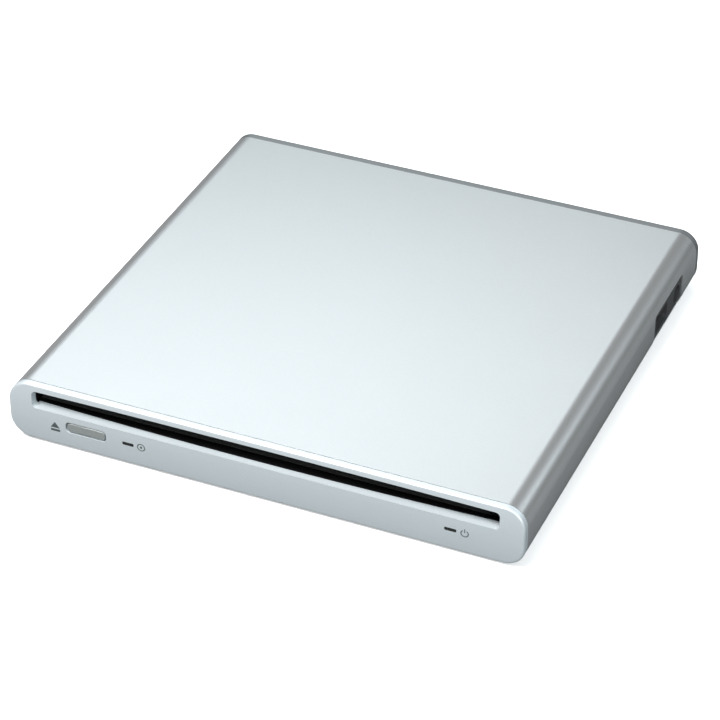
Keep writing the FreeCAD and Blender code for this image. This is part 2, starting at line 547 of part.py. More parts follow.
# sockets
us = rr_x(USB_Y - 3.85, USB_Y + 3.85, USB_Z - 1.95, USB_Z + 1.95, 0.5, 60.2, 68.0)
us = us.cut(rr_x(USB_Y - 3.45, USB_Y + 3.45, USB_Z - 1.55, USB_Z + 1.55, 0.3, 61.2, 69.5))
us = us.fuse(box(60.9, 67.2, USB_Y - 1.9, USB_Y + 1.9, USB_Z - 0.35, USB_Z + 0.45))
us = us.fuse(box(60.2, 62.8, USB_Y - 3.6, USB_Y + 3.6, 5.8, USB_Z - 1.8))
put("usb_socket", us.removeSplitter())
jk = box(57.0, 67.6, JACK_Y - 4.0, JACK_Y + 4.0, 6.0, 11.9)
jk = jk.fuse(box(57.0, 62.8, JACK_Y - 4.0, JACK_Y + 4.0, 5.8, 6.2))
jk = jk.fuse(cylx(67.0, 68.6, JACK_Y, JACK_Z, JACK_R))
jk = jk.cut(cylx(59.0, 70.0, JACK_Y, JACK_Z, 2.05))
jk = jk.fuse(cylx(58.5, 67.9, JACK_Y, JACK_Z, 0.6))
jk = jk.common(body(2.2, -80, 80).fuse(cylx(66.0, 69.0, JACK_Y, JACK_Z, JACK_R)))
put("dc_jack", jk.removeSplitter())

# flat cables
put("board_ribbon", fuse([box(-38.0, 50.0, 46.6, 51.4, 3.82, 3.97),
                          box(-38.0, -37.85, 46.6, 51.4, 3.82, 5.0),
                          box(49.85, 50.0, 46.6, 51.4, 3.82, 5.0)]))
put("pickup_flex", fuse([box(-36.0, 6.0, 30.0, 38.0, 3.82, 3.97),
                         box(-36.0, -35.85, 30.0, 38.0, 3.82, 5.0)]))
put("front_cable", fuse([box(-63.2, -59.4, -61.13, -7.5, 3.82, 3.97),
                         box(-63.2, -59.4, -7.65, -7.5, 3.82, 5.0)]))

# ---------------------------------------------------------------- traverse
tr = box(-27.0, 27.0, -15.0, 63.4, 4.6, 5.6)
tr = tr.cut(box(-15.0, 15.0, 14.0, 61.6, 4, 7))
tr = tr.fuse([box(26.0, 40.3, LIFT_PIN[0] - 2.5, LIFT_PIN[0] + 2.5, 4.6, 5.8),
              cylx(40.0, 42.6, LIFT_PIN[0], LIFT_PIN[1], 0.6)])
for s in (-1, 1):
    tr = tr.fuse([box(s * ROD_X - 1.8, s * ROD_X + 1.8, 11.3, 13.9, 5.4, 8.4),
                  box(s * ROD_X - 1.8, s * ROD_X + 1.8, 61.6, 63.4, 5.4, 8.4)])
    tr = tr.fuse(cylx(26.5, 31.2, PIV_Y, PIV_Z, 1.0) if s > 0 else cylx(-31.2, -26.5, PIV_Y, PIV_Z, 1.0))
tr = tr.fuse(box(22.2, 24.8, 61.6, 63.4, 5.4, 7.9))
tr = tr.fuse([box(20.4, 26.6, 0.0, 0.9, 5.4, 9.0)])
for s in (-1, 1):
    tr = tr.cut(cyly(s * ROD_X, 11.9, 63.0, ROD_Z, ROD_R + 0.01))
tr = tr.cut(cyly(SCREW_X, 61.0, 63.0, ROD_Z, 0.55))
tr = tr.cut(cyl(0, 0, 4, 7, 2.9))
tr = tr.removeSplitter()
put("traverse_base", tr)
put("guide_rods", group([cyly(s * ROD_X, 11.9, 63.0, ROD_Z, ROD_R) for s in (-1, 1)]))
sm = cyly(SCREW_X, 0.9, 12.0, ROD_Z, 2.3)
sm = sm.cut(box(20, 27, 0, 13, 3.0, 5.6)).cut(cyly(SCREW_X, 8.5, 13, ROD_Z, 0.55))
put("sled_motor", sm)
lsn = fuse([cyly(SCREW_X, 12.4, 61.0, ROD_Z, SCREW_R), cyly(SCREW_X, 9.0, 62.8, ROD_Z, 0.5)])
put("lead_screw", lsn)
put("traverse_dampers", group([cyl(-22.0, -11.5, FLOOR_Z, 4.55, 2.2), cyl(22.0, -11.5, FLOOR_Z, 4.55, 2.2)]))

# disc motor
st = cyl(0, 0, 5.6, 5.95, 13.0).fuse(cyl(0, 0, 4.4, 8.2, 2.6))
core = tube(0, 0, 6.4, 8.1, 10.9, 2.5)
for i in range(9):
    a = i * 40.0
    w = box(5.4, 12.0, -0.55, 0.55, 6.0, 8.6)
    w = w.fuse(cyl(5.9, 0, 6.0, 8.6, 1.3))
    w.rotate(V(0, 0, 0), V(0, 0, 1), a)
    core = core.cut(w)
st = st.fuse(core)
st = st.cut(cyl(0, 0, 4.7, 9, 1.06))
put("spindle_stator", st.removeSplitter())
ro = cyl(0, 0, 6.2, 9.0, 12.5).cut(cyl(0, 0, 6.1, 8.4, 11.7))
ro = ro.fuse(cyl(0, 0, 4.85, 9.0, 1.0))
put("spindle_rotor", ro.removeSplitter())
tt = cyl(0, 0, 9.0, 9.4, 14.4)
hub = cyl(0, 0, 9.3, 11.0, 7.35)
ed = [e2 for e2 in hub.Edges if abs(e2.BoundBox.ZMin - 11.0) < 1e-6]
hub = hub.makeChamfer(0.5, ed)
tt = tt.fuse(hub)
balls = []
for i in range(3):
    a = 90.0 + i * 120.0
    hole = Part.makeCylinder(0.9, 5.0, V(4.5, 0, 10.2), V(1, 0, 0))
    hole.rotate(V(0, 0, 0), V(0, 0, 1), a)
    tt = tt.cut(hole)
    x, y = at((0, 0), 6.85, a)
    balls.append(Part.makeSphere(0.85, V(x, y, 10.2)))
tt = tt.cut(cyl(0, 0, 10.4, 12, 3.0))
put("turntable", tt.removeSplitter())
put("chucking_balls", group(balls))
put("turntable_pad", tube(0, 0, 9.4, 9.6, 14.2, 11.2))

# pickup
pk = box(-14.4, 14.4, 14.8, 27.4, 4.9, 8.5)
pk = pk.fuse([box(-20.6, -12.0, 15.2, 26.8, 5.85, 8.5), box(12.0, 20.6, 16.0, 24.0, 5.85, 8.5)])
pk = pk.cut([box(-5.6, 5.6, LENS_Y - 4.1, 30.0, 6.4, 10.0)])
pk = pk.cut(fuse([cyly(-ROD_X, 10, 30, ROD_Z, ROD_R + 0.05), box(-ROD_X - 0.6, -ROD_X + 0.6, 10, 30, 5.0, ROD_Z - 0.6)]))
pk = pk.cut(fuse([box(ROD_X - 0.0, 22.0, 10, 30, ROD_Z - 1.06, ROD_Z + 1.06), cyly(ROD_X, 10, 30, ROD_Z, ROD_R + 0.06)]))
pk = pk.cut(cyl(0, 0, 4, 12, 14.9))
pk = pk.cut(cylx(-21, -9.0, 21.0, 5.6, 1.7).common(box(-21, -9, 10, 30, 3, 5.84)))
put("pickup_body", pk.removeSplitter())
pc = box(-14.0, 14.0, 15.4, 19.6, 8.5, 8.7).fuse([box(-14.0, -5.9, 19.5, 27.0, 8.5, 8.7), box(5.9, 14.0, 19.5, 27.0, 8.5, 8.7)])
pc = pc.cut(cyl(0, 0, 4, 12, 15.1))
put("pickup_cover", pc.removeSplitter())
put("laser_diode", fuse([cyl(10.0, 22.0, 4.5, 4.9, 2.0), cyl(10.0, 22.0, 4.2, 4.5, 1.6)]))
ln = box(20.6, 26.2, 17.0, 23.0, 5.9, 8.4).cut(cyly(SCREW_X, 16, 24, ROD_Z, SCREW_R + 0.06))
put("lead_nut", ln)
lh = box(-4.9, 4.9, LENS_Y - 3.5, LENS_Y + 3.2, 7.0, 9.2)
lh = lh.cut(cyl(0, LENS_Y, 6, 10, 2.35))
ed = [e2 for e2 in lh.Edges if abs(e2.BoundBox.ZMin - 9.2) < 1e-6 and e2.BoundBox.XLength + e2.BoundBox.YLength > 6]
put("lens_holder", lh)
ls1 = cyl(0, LENS_Y, 8.2, 9.2, 2.3)
dome = Part.makeSphere(4.0, V(0, LENS_Y, 9.2 - math.sqrt(16.0 - 1.9 * 1.9))).common(cyl(0, LENS_Y, 9.2, 12, 1.9))
put("objective_lens", ls1.fuse(dome).removeSplitter())

# ---------------------------------------------------------------- loading train
lm = cyl(MO[0], MO[1], FLOOR_Z, 8.0, 6.0).cut(cyl(MO[0], MO[1], 5.0, 9.0, 0.55))
lm = lm.cut([box(MO[0] - 7, MO[0] - 5.0, MO[1] - 7, MO[1] + 7, FLOOR_Z - 0.01, 9), box(MO[0] - 7, MO[0] + 7, MO[1] - 7, MO[1] - 5.0, FLOOR_Z - 0.01, 9)])
put("loading_motor", lm)
a_ma = direction(MO, GA)
a_ab = direction(GA, GB)
mp = gear(MO, T_MOTOR, 8.35, 9.4, a_ma + 180.0 / T_MOTOR).fuse(cyl(MO[0], MO[1], 5.2, 9.5, 0.5))
put("motor_pinion", mp.removeSplitter())
ga = gear(GA, T_A1, 8.35, 9.3, a_ma + 180.0).fuse(gear(GA, T_A2, 6.3, 8.4, a_ab + 180.0 / T_A2))
ga = ga.cut(cyl(GA[0], GA[1], 6, 10, 1.06))
put("gear_a", ga.removeSplitter())
gb = gear(GB, T_B1, 6.4, 7.6, a_ab + 180.0).fuse(gear(GB, T_B2, 7.5, 9.3, 0.0))
gb = gb.cut(cyl(GB[0], GB[1], 6, 10, 1.06))
for i in range(5):
    x, y = at(GB, 6.0, i * 72.0)
    gb = gb.cut(cyl(x, y, 6, 7.7, 1.7))
put("gear_b", gb.removeSplitter())

# cam slide: rack, ramp wall and guide flange
cm = box(34.55, 42.7, -50.3, -29.4, 8.4, 9.4)
cm = cm.fuse([box(41.5, 42.7, -50.3, -6.0, 4.1, 9.4), box(41.5, 47.6, -50.3, -4.6, 4.1, 4.9)])
teeth = []
pitch = math.pi * MOD
half_p = (pitch / 2 - 0.05) / 2
tn = math.tan(PA)
for k in range(12):
    yc = GB[1] + pitch / 2 - k * pitch
    if yc > -30.0 or yc < -49.6:
        continue
    p = [(RACK_X + DED + 0.1, yc - half_p - (DED + 0.1) * tn), (RACK_X - ADD, yc - half_p + ADD * tn),
         (RACK_X - ADD, yc + half_p - ADD * tn), (RACK_X + DED + 0.1, yc + half_p + (DED + 0.1) * tn)]
    w = Part.makePolygon([V(a, b, 8.4) for a, b in p] + [V(p[0][0], p[0][1], 8.4)])
    teeth.append(Part.Face(w).extrude(V(0, 0, 1.0)))
cm = cm.fuse(teeth)
# a slanted slot in the wall lifts the traverse as the slide moves back
th = math.radians(LIFT_DEG)
dy, dz = LIFT_PIN[0] - PIV_Y, LIFT_PIN[1] - PIV_Z
p_end = (PIV_Y + dy * math.cos(th) + dz * math.sin(th) - CAM_TRAVEL, PIV_Z - dy * math.sin(th) + dz * math.cos(th))
cm = cm.cut(capsule_yz(LIFT_PIN, p_end, 0.74, 41.0, 43.2))
cm = cm.cut(capsule((36.9, PIVOT[1] - CAM_TRAVEL / 2), (39.0, PIVOT[1] - CAM_TRAVEL / 2), 1.2, 8, 10))
cm = cm.cut(capsule((45.2, -45.2), (45.2, -7.0), 1.0, 4.0, 5.0))
put("cam_slide", cm.removeSplitter())

sb = box(-42.0, 42.0, -50.0, -46.0, 9.75, 10.35)
sb = sb.fuse([box(35.4, 42.0, -50.0, -46.0, 9.4, 9.8), box(-42.0, -35.4, -50.0, -46.0, 9.3, 9.8),
              box(-47.4, -34.6, -51.6, -30.6, 8.4, 9.4)])
sb = sb.cut(capsule((-36.9, PIVOT[1] - CAM_TRAVEL / 2), (-39.0, PIVOT[1] - CAM_TRAVEL / 2), 1.2, 8, 9.6))
sb = sb.cut(capsule((-44.0, -50.0), (-44.0, -32.2), 1.0, 8, 9.6))
put("sync_bar", sb.removeSplitter())


def lever(s):
    tip = at(PIVOT, LEVER_L, LEVER_REST)
    pin = at(PIVOT, PIN_R, 180.0 + LEVER_SWING / 2)
    b = capsule(PIVOT, tip, 1.5, 9.7, 10.35).fuse([capsule(PIVOT, pin, 1.8, 9.7, 10.35),
                                                    cyl(PIVOT[0], PIVOT[1], 9.7, 10.35, 3.0),
                                                    cyl(pin[0], pin[1], 8.45, 10.0, 1.0),
                                                    cyl(tip[0], tip[1], 10.0, 15.2, 0.7),
                                                    cyl(tip[0], tip[1], 10.0, 11.2, 1.0)])
    b = b.cut(cyl(PIVOT[0], PIVOT[1], 9, 11, 1.55)).removeSplitter()
    r = tube(tip[0], tip[1], 11.3, 15.0, 1.5, 0.76)
    if s < 0:
        b, r = mirror_x(b), mirror_x(r)
    return b, r


for s, nm in ((-1, "left"), (1, "right")):
    b, r = lever(s)
    put(nm + "_guide_lever", b)
    put(nm + "_guide_roller", r)

# ---------------------------------------------------------------- write
total = 0
for name, shape in PARTS.items():
    solids = shape.Solids
    ok = all(s.isValid() and s.Volume > 0 for s in solids)
    if not solids or not ok:
        print("BAD", name, len(solids), shape.isValid())
    if len(solids) == 1:
        out = solids[0]
    else:
        out = Part.makeCompound(solids)
    out.exportStep("parts/%s.step" % name)
    total += 1
    bb = out.BoundBox
    print("%-22s %2d solids %9.2f mm3  x %.2f..%.2f y %.2f..%.2f z %.2f..%.2f" % (
        name, len(solids), out.Volume, bb.XMin, bb.XMax, bb.YMin, bb.YMax, bb.ZMin, bb.ZMax))
print("nodes", total)
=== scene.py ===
import json
import math

import bmesh
import bpy
from mathutils import Matrix, Vector

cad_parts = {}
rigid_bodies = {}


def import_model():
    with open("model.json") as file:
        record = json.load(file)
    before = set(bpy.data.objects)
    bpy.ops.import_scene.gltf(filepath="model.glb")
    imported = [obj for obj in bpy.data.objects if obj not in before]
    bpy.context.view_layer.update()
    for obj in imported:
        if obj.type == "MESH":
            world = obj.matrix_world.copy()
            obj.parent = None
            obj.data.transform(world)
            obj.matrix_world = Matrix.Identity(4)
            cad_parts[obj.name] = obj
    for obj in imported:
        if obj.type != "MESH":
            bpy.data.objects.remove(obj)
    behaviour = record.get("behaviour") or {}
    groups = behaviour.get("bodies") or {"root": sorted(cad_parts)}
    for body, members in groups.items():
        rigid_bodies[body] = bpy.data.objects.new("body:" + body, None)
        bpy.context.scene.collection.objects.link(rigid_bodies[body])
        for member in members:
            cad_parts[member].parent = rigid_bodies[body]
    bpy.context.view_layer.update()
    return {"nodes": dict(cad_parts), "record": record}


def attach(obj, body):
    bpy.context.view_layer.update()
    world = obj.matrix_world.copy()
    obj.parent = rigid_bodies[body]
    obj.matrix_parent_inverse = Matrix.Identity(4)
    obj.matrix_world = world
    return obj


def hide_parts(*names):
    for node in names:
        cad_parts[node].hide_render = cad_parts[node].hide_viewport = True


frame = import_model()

MM = 0.001
NODES = frame["nodes"]
RECORD = frame["record"]
SLOT_OF = {s["node"]: s["material_slot"] for s in RECORD["subparts"]}
BODY_OF = {n: b for b, ns in RECORD["behaviour"]["bodies"].items() for n in ns}
scene = bpy.context.scene
for o in list(scene.objects):
    if o.name not in NODES and o.type in {"MESH", "LIGHT", "CAMERA"}:
        bpy.data.objects.remove(o)


# ------------------------------------------------------------------ camera
AZ, EL, ROLL = math.radians(23.0776), math.radians(34.861), math.radians(0.2021)
back = Vector((math.sin(AZ) * math.cos(EL), -math.cos(AZ) * math.cos(EL), math.sin(EL)))
right = Vector((math.cos(AZ), math.sin(AZ), 0.0))
up = back.cross(right)
r2 = right * math.cos(ROLL) + up * math.sin(ROLL)
u2 = up * math.cos(ROLL) - right * math.sin(ROLL)
cam_data = bpy.data.cameras.new("camera")
cam_data.sensor_fit = "HORIZONTAL"
cam_data.sensor_width = 36.0
cam_data.lens = 141.0
cam_data.clip_start = 0.01
cam_data.clip_end = 50.0
camera = bpy.data.objects.new("camera", cam_data)
scene.collection.objects.link(camera)
camera.matrix_world = Matrix((
    (r2.x, u2.x, back.x, 0.240504),
    (r2.y, u2.y, back.y, -0.569484),
    (r2.z, u2.z, back.z, 0.429813),
    (0, 0, 0, 1)))
scene.camera = camera
scene.view_settings.view_transform = "Standard"
scene.view_settings.look = "None"


# --------------------------------------------------------------- materials
class Mat:
    """A small helper around a Principled material. Lengths are in mm."""

    def __init__(self, name, rgb=(0.5, 0.5, 0.5), rough=0.5, metal=0.0, **consts):
        self.m = bpy.data.materials.new(name)
        self.m.use_nodes = True
        self.nt = self.m.node_tree
        self.nt.nodes.clear()
        self.out = self.nt.nodes.new("ShaderNodeOutputMaterial")
        self.b = self.nt.nodes.new("ShaderNodeBsdfPrincipled")
        self.nt.links.new(self.b.outputs["BSDF"], self.out.inputs["Surface"])
        self.b.inputs["Base Color"].default_value = (*rgb, 1)
        self.b.inputs["Roughness"].default_value = rough
        self.b.inputs["Metallic"].default_value = metal
        for k, v in consts.items():
            self.b.inputs[k.replace("_", " ")].default_value = v
        tc = self.nt.nodes.new("ShaderNodeTexCoord")
        self.co = tc.outputs["Object"]
        self._normal = None

    def node(self, kind, **props):
        n = self.nt.nodes.new(kind)
        for k, v in props.items():
            setattr(n, k, v)
        return n

    def link(self, a, b):
        self.nt.links.new(a, b)

    def stretched(self, sx, sy, sz):
        m = self.node("ShaderNodeMapping")
        m.inputs["Scale"].default_value = (sx, sy, sz)
        self.link(self.co, m.inputs["Vector"])
        return m.outputs["Vector"]

    def noise(self, size, detail=2.0, rough=0.5, co=None, dist=0.0):
        n = self.node("ShaderNodeTexNoise")
        n.inputs["Scale"].default_value = 1000.0 / size
        n.inputs["Detail"].default_value = detail
        n.inputs["Roughness"].default_value = rough
        n.inputs["Distortion"].default_value = dist
        self.link(co or self.co, n.inputs["Vector"])
        return n.outputs["Fac"]

    def cells(self, size, feature="F1", out="Distance", metric="EUCLIDEAN", co=None, rnd=1.0):
        n = self.node("ShaderNodeTexVoronoi", feature=feature)
        if feature != "DISTANCE_TO_EDGE":
            n.distance = metric
        n.inputs["Scale"].default_value = 1000.0 / size
        n.inputs["Randomness"].default_value = rnd
        self.link(co or self.co, n.inputs["Vector"])
        return n.outputs[out]

    def wave(self, size, axis="X", co=None, kind="BANDS", dist=0.0):
        n = self.node("ShaderNodeTexWave", wave_type=kind)
        if kind == "BANDS":
            n.bands_direction = axis
        else:
            n.rings_direction = axis
        n.inputs["Scale"].default_value = 1000.0 / size * math.pi / 10.0
        n.inputs["Distortion"].default_value = dist
        self.link(co or self.co, n.inputs["Vector"])
        return n.outputs["Fac"]

    def math(self, op, a, b=0.5, c=None):
        n = self.node("ShaderNodeMath", operation=op)
        for i, v in enumerate((a, b, c)):
            if v is None:
                continue
            if isinstance(v, (int, float)):
                n.inputs[i].default_value = v
            else:
                self.link(v, n.inputs[i])
        return n.outputs[0]

    def span(self, x, lo, hi, a=0.0, b=1.0):
        n = self.node("ShaderNodeMapRange")
        n.inputs["From Min"].default_value = lo
        n.inputs["From Max"].default_value = hi
        n.inputs["To Min"].default_value = a
        n.inputs["To Max"].default_value = b
        self.link(x, n.inputs["Value"])
        return n.outputs["Result"]

    def two(self, fac, c0, c1):
        n = self.node("ShaderNodeMix", data_type="RGBA")
        self.link(fac, n.inputs["Factor"])
        for s, c in ((6, c0), (7, c1)):
            if isinstance(c, (tuple, list)):
                n.inputs[s].default_value = (*c[:3], 1)
            else:
                self.link(c, n.inputs[s])
        return n.outputs[2]

    def colour(self, sock):
        self.link(sock, self.b.inputs["Base Color"])

    def rough(self, sock):
        self.link(sock, self.b.inputs["Roughness"])

    def bump(self, height, mm, strength=1.0):
        n = self.node("ShaderNodeBump")
        n.inputs["Strength"].default_value = strength
        n.inputs["Distance"].default_value = mm * MM
        self.link(height, n.inputs["Height"])
        if self._normal is not None:
            self.link(self._normal, n.inputs["Normal"])
        self._normal = n.outputs["Normal"]
        self.link(self._normal, self.b.inputs["Normal"])


def scaled(c, k):
    return tuple(min(1.0, v * k) for v in c)


def paint(name, rgb, r0, r1, metal, flake=0.05, peel=0.0016, coat=0.15):
    """Fine metallic paint: flakes, a faint orange peel and slow changes of tone and gloss."""
    m = Mat(name, rgb, r0, metal, Coat_Weight=coat, Coat_Roughness=0.22)
    slow = m.noise(38.0, 3.0)
    flakes = m.cells(0.16, out="Color")
    sep = m.node("ShaderNodeSeparateColor")
    m.link(flakes, sep.inputs["Color"])
    base = m.two(m.span(slow, 0.3, 0.7), scaled(rgb, 0.993), scaled(rgb, 1.005))
    dark = m.two(m.span(sep.outputs[0], 0.0, 1.0, 0.0, 1.0), scaled(rgb, 1.0 - flake), scaled(rgb, 1.0 + flake))
    m.colour(m.two(m.span(m.noise(0.7, 2.0), 0.35, 0.65, 0.25, 0.6), base, dark))
    m.rough(m.span(m.math("ADD", m.noise(14.0, 4.0), m.math("MULTIPLY", m.noise(2.2, 2.0), 0.4)), 0.45, 0.95, r0, r1))
    m.bump(m.noise(1.6, 2.0), peel)
    m.bump(sep.outputs[1], 0.0011)
    return m.m


def moulded(name, rgb, r0, r1, grain=0.35, depth=0.006, spec=0.5, **k):
    """Moulded plastic with an eroded tool texture."""
    m = Mat(name, rgb, r0, 0.0, Specular_IOR_Level=spec, **k)
    g = m.noise(grain, 3.0, 0.6)
    slow = m.noise(9.0, 3.0)
    m.colour(m.two(m.math("ADD", m.math("MULTIPLY", slow, 0.6), m.math("MULTIPLY", g, 0.4)), scaled(rgb, 0.86), scaled(rgb, 1.14)))
    m.rough(m.span(m.math("ADD", g, slow), 0.7, 1.3, r0, r1))
    m.bump(g, depth)
    return m.m


def sheet_metal(name, rgb, r0, r1, along="Y", grain=0.08, depth=0.0012):
    """Rolled sheet: long fine streaks and faint spangle."""
    m = Mat(name, rgb, r0, 1.0)
    st = {"X": (0.03, 1, 1), "Y": (1, 0.03, 1), "Z": (1, 1, 0.03)}[along]
    streak = m.noise(grain * 3, 4.0, 0.65, co=m.stretched(*st))
    spangle = m.cells(3.4, out="Color")
    sep = m.node("ShaderNodeSeparateColor")
    m.link(spangle, sep.inputs["Color"])
    tone = m.math("ADD", m.math("MULTIPLY", streak, 0.65), m.math("MULTIPLY", sep.outputs[0], 0.35))
    m.colour(m.two(tone, scaled(rgb, 0.82), scaled(rgb, 1.12)))
    m.rough(m.span(tone, 0.2, 0.8, r0, r1))
    m.bump(streak, depth)
    return m.m


def turned(name, rgb, r0, r1, depth=0.0010, size=0.25):
    """Turned or ground metal with fine tool marks and light tarnish."""
    m = Mat(name, rgb, r0, 1.0)
    fine = m.noise(size, 3.0, 0.6)
    slow = m.noise(4.0, 3.0)
    m.colour(m.two(m.math("ADD", m.math("MULTIPLY", slow, 0.7), m.math("MULTIPLY", fine, 0.3)), scaled(rgb, 0.8), scaled(rgb, 1.1)))
    m.rough(m.span(m.math("ADD", fine, slow), 0.7, 1.3, r0, r1))
    m.bump(fine, depth)
    return m.m


M = {}
SILVER = (0.720, 0.738, 0.750)
M["silver_paint"] = paint("paint_silver_cover", SILVER, 0.304, 0.318, 0.75)
M["silver_plastic"] = paint("paint_silver_bezel", (0.705, 0.790, 0.835), 0.34, 0.42, 0.30)
M["cap_grey"] = paint("paint_grey_cap", (0.235, 0.252, 0.262), 0.36, 0.44, 0.45)
M["base_paint"] = paint("paint_base", (0.50, 0.52, 0.54), 0.42, 0.52, 0.35, peel=0.003)
M["button_grey"] = paint("paint_button", (0.49, 0.535, 0.535), 0.34, 0.42, 0.60, flake=0.08)
M["charcoal"] = moulded("moulded_charcoal", (0.085, 0.087, 0.092), 0.45, 0.62, grain=0.30, depth=0.010, spec=0.3)
M["black_plastic"] = moulded("moulded_black", (0.0035, 0.0035, 0.004), 0.55, 0.72, grain=0.28, depth=0.008, spec=0.10)
M["socket_steel"] = sheet_metal("sheet_socket", (0.10, 0.10, 0.105), 0.45, 0.60)
M["grey_plastic"] = moulded("moulded_grey", (0.16, 0.165, 0.17), 0.48, 0.62, grain=0.45, depth=0.008)
M["white_plastic"] = moulded("moulded_acetal", (0.72, 0.71, 0.67), 0.34, 0.46, grain=0.6, depth=0.003, Subsurface_Weight=0.05, Subsurface_Scale=0.001)
M["chip_black"] = moulded("moulded_package", (0.022, 0.022, 0.024), 0.52, 0.66, grain=0.12, depth=0.004)
M["rubber"] = moulded("rubber_stippled", (0.030, 0.030, 0.031), 0.66, 0.84, grain=0.22, depth=0.014, spec=0.25)
M["steel"] = sheet_metal("sheet_zinc", (0.56, 0.57, 0.58), 0.28, 0.44)
M["screw_steel"] = turned("nickel_screws", (0.36, 0.36, 0.37), 0.26, 0.40)
M["chrome"] = turned("ground_rod", (0.78, 0.79, 0.80), 0.07, 0.14, depth=0.0004, size=0.12)
M["aluminium"] = turned("machined_aluminium", (0.72, 0.73, 0.74), 0.24, 0.38)
M["brass"] = turned("turned_brass", (0.72, 0.53, 0.24), 0.20, 0.34)


def smoke_lens():
    m = Mat("smoked_light_pipe", (0.012, 0.014, 0.014), 0.12, 0.0, Coat_Weight=0.4, Coat_Roughness=0.08)
    n = m.noise(1.1, 2.0)
    m.colour(m.two(n, (0.006, 0.008, 0.008), (0.020, 0.024, 0.023)))
    m.rough(m.span(m.noise(0.5, 2.0), 0.3, 0.7, 0.10, 0.20))
    m.bump(n, 0.002)
    return m.m


def felt():
    m = Mat("felt_fibres", (0.012, 0.012, 0.012), 0.95, 0.0, Sheen_Weight=0.25, Sheen_Roughness=0.6, Specular_IOR_Level=0.1)
    a = m.noise(0.10, 4.0, 0.7, co=m.stretched(0.25, 1, 1), dist=1.5)
    b = m.noise(0.12, 4.0, 0.7, co=m.stretched(1, 1, 0.3), dist=2.0)
    f = m.math("MAXIMUM", a, b)
    m.colour(m.two(m.span(f, 0.4, 0.8), (0.003, 0.003, 0.003), (0.014, 0.014, 0.015)))
    m.rough(m.span(f, 0.4, 0.8, 0.98, 0.86))
    m.bump(f, 0.05)
    return m.m


def circuit():
    """Solder mask with tracks, vias and small bare pads."""
    m = Mat("circuit_board", (0.02, 0.12, 0.06), 0.30, 0.0, Coat_Weight=0.5, Coat_Roughness=0.16)
    e = m.cells(2.6, out="Distance", metric="CHEBYCHEV")
    lines = m.math("PINGPONG", m.math("MULTIPLY", e, 5.0), 0.5)
    track = m.span(lines, 0.22, 0.30, 0.0, 1.0)
    base = m.two(track, (0.010, 0.085, 0.045), (0.022, 0.155, 0.075))
    v = m.cells(2.1, rnd=0.8)
    via = m.span(v, 0.10, 0.14, 1.0, 0.0)
    m.colour(m.two(via, base, (0.62, 0.58, 0.48)))
    m.rough(m.math("ADD", m.span(m.noise(3.0, 2.0), 0.3, 0.7, 0.22, 0.34), m.math("MULTIPLY", via, 0.1)))
    m.bump(track, 0.012)
    return m.m


def windings():
    m = Mat("laminations_and_wire", (0.50, 0.24, 0.10), 0.3, 0.9)
    w = m.wave(0.22, "Z", dist=0.6)
    slow = m.noise(1.8, 2.0)
    m.colour(m.two(w, (0.26, 0.10, 0.035), (0.66, 0.33, 0.14)))
    m.rough(m.span(slow, 0.3, 0.7, 0.24, 0.38))
    m.bump(w, 0.05)
    return m.m


def cans():
    m = Mat("capacitor_sleeve", (0.30, 0.31, 0.36), 0.3, 0.75)
    w = m.noise(0.5, 3.0)
    m.colour(m.two(w, (0.24, 0.25, 0.30), (0.38, 0.39, 0.44)))
    m.rough(m.span(m.noise(1.4, 2.0), 0.3, 0.7, 0.25, 0.38))
    m.bump(w, 0.004)
    return m.m


def flat_cable():
    m = Mat("laminated_cable", (0.60, 0.40, 0.12), 0.3, 0.0, Coat_Weight=0.4, Coat_Roughness=0.12)
    w = m.math("MULTIPLY", m.wave(0.5, "X"), m.span(m.wave(0.5, "Y"), 0.0, 1.0, 0.55, 1.0))
    m.colour(m.two(m.span(w, 0.35, 0.6), (0.46, 0.25, 0.06), (0.70, 0.45, 0.20)))
    m.rough(m.span(m.noise(2.0, 2.0), 0.3, 0.7, 0.22, 0.34))
    m.bump(w, 0.010)
    return m.m


def led_body():
    m = Mat("light_emitting_part", (0.75, 0.78, 0.70), 0.2, 0.0, Transmission_Weight=0.35, IOR=1.5)
    n = m.noise(0.8, 2.0)
    m.colour(m.two(n, (0.62, 0.66, 0.52), (0.86, 0.88, 0.80)))
    m.rough(m.span(n, 0.3, 0.7, 0.14, 0.26))
    return m.m


def lens_glass():
    m = Mat("coated_lens", (0.80, 0.88, 0.97), 0.03, 0.0, Transmission_Weight=1.0, IOR=1.58, Coat_Weight=0.6, Coat_Roughness=0.03, Coat_Tint=(0.55, 0.60, 1.0, 1.0))
    n = m.noise(0.9, 2.0)
    m.colour(m.two(n, (0.74, 0.84, 0.97), (0.84, 0.90, 0.98)))
    m.rough(m.span(n, 0.3, 0.7, 0.02, 0.06))
    return m.m


M["smoke_lens"] = smoke_lens()
M["felt"] = felt()
M["pcb"] = circuit()
M["copper_core"] = windings()
M["capacitor"] = cans()
M["cable"] = flat_cable()
M["led"] = led_body()
M["lens"] = lens_glass()


def ink_material(name, rgb):
    m = Mat(name, rgb, 0.5, 0.0)
    n = m.noise(0.25, 3.0)
    m.colour(m.two(n, scaled(rgb, 0.8), scaled(rgb, 1.25)))
    m.rough(m.span(n, 0.3, 0.7, 0.42, 0.6))
    m.bump(n, 0.002)
    return m.m


INK = ink_material("printed_grey", (0.085, 0.105, 0.115))
PALE_INK = ink_material("printed_mid_grey", (0.12, 0.145, 0.155))

for n, o in NODES.items():
    mat = M[SLOT_OF[n]]
    for s in o.material_slots:
        s.material = mat


# ------------------------------------------------------------------ pieces
def add(name, mesh, body, slot, mat=None, node=None):
    o = bpy.data.objects.new(name, mesh)
    scene.collection.objects.link(o)
    o.data.materials.clear()
    o.data.materials.append(mat or M[slot])
    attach(o, body)
    if node:
        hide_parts(*([node] if isinstance(node, str) else node))
    return o


